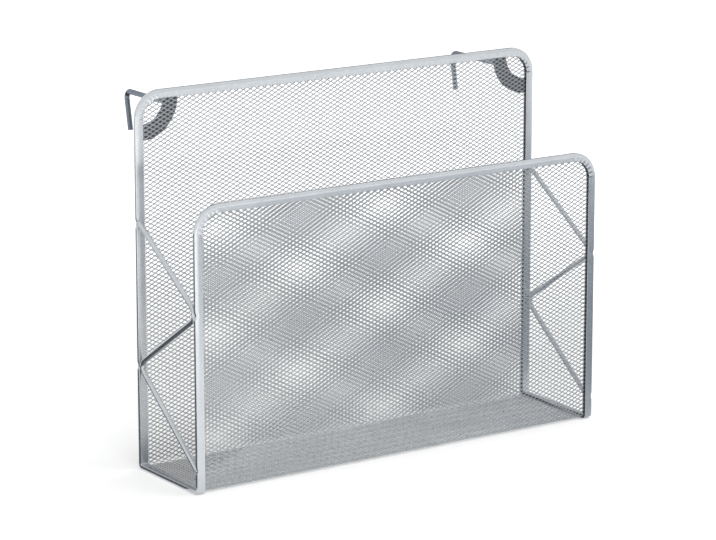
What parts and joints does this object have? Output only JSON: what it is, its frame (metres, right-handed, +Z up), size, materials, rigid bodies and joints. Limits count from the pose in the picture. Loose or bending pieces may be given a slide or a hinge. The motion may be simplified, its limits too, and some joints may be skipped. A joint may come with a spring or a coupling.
{
  "type": "wall magazine holder",
  "caption": "Open-topped magazine holder of folded metal mesh with a rounded channel rim, zigzag wire sides and rear hooks for hanging on a panel.",
  "frame": {"origin": "on the back face of the rear rim's top rail, halfway across the width", "axes": "+X along the width, to the right seen from the front; +Y to the wall or panel behind; +Z up"},
  "size_m": [0.36, 0.1475, 0.283],
  "materials": {
    "mesh": "silver metallic paint, satin",
    "rim": "silver metallic paint, satin",
    "wire": "silver metallic paint, satin",
    "plate": "dark grey metallic paint, satin",
    "hook": "dark grey metallic paint, satin"
  },
  "bodies": {
    "root": {"rear_rim": "rim", "front_rim": "rim", "left_base_rim": "rim", "right_base_rim": "rim", "rear_mesh": "mesh", "front_mesh": "mesh", "bottom_mesh": "mesh", "left_zigzag": "wire", "right_zigzag": "wire", "left_corner_plate": "plate", "right_corner_plate": "plate", "left_hook": "hook", "right_hook": "hook"}
  },
  "joints": []
}
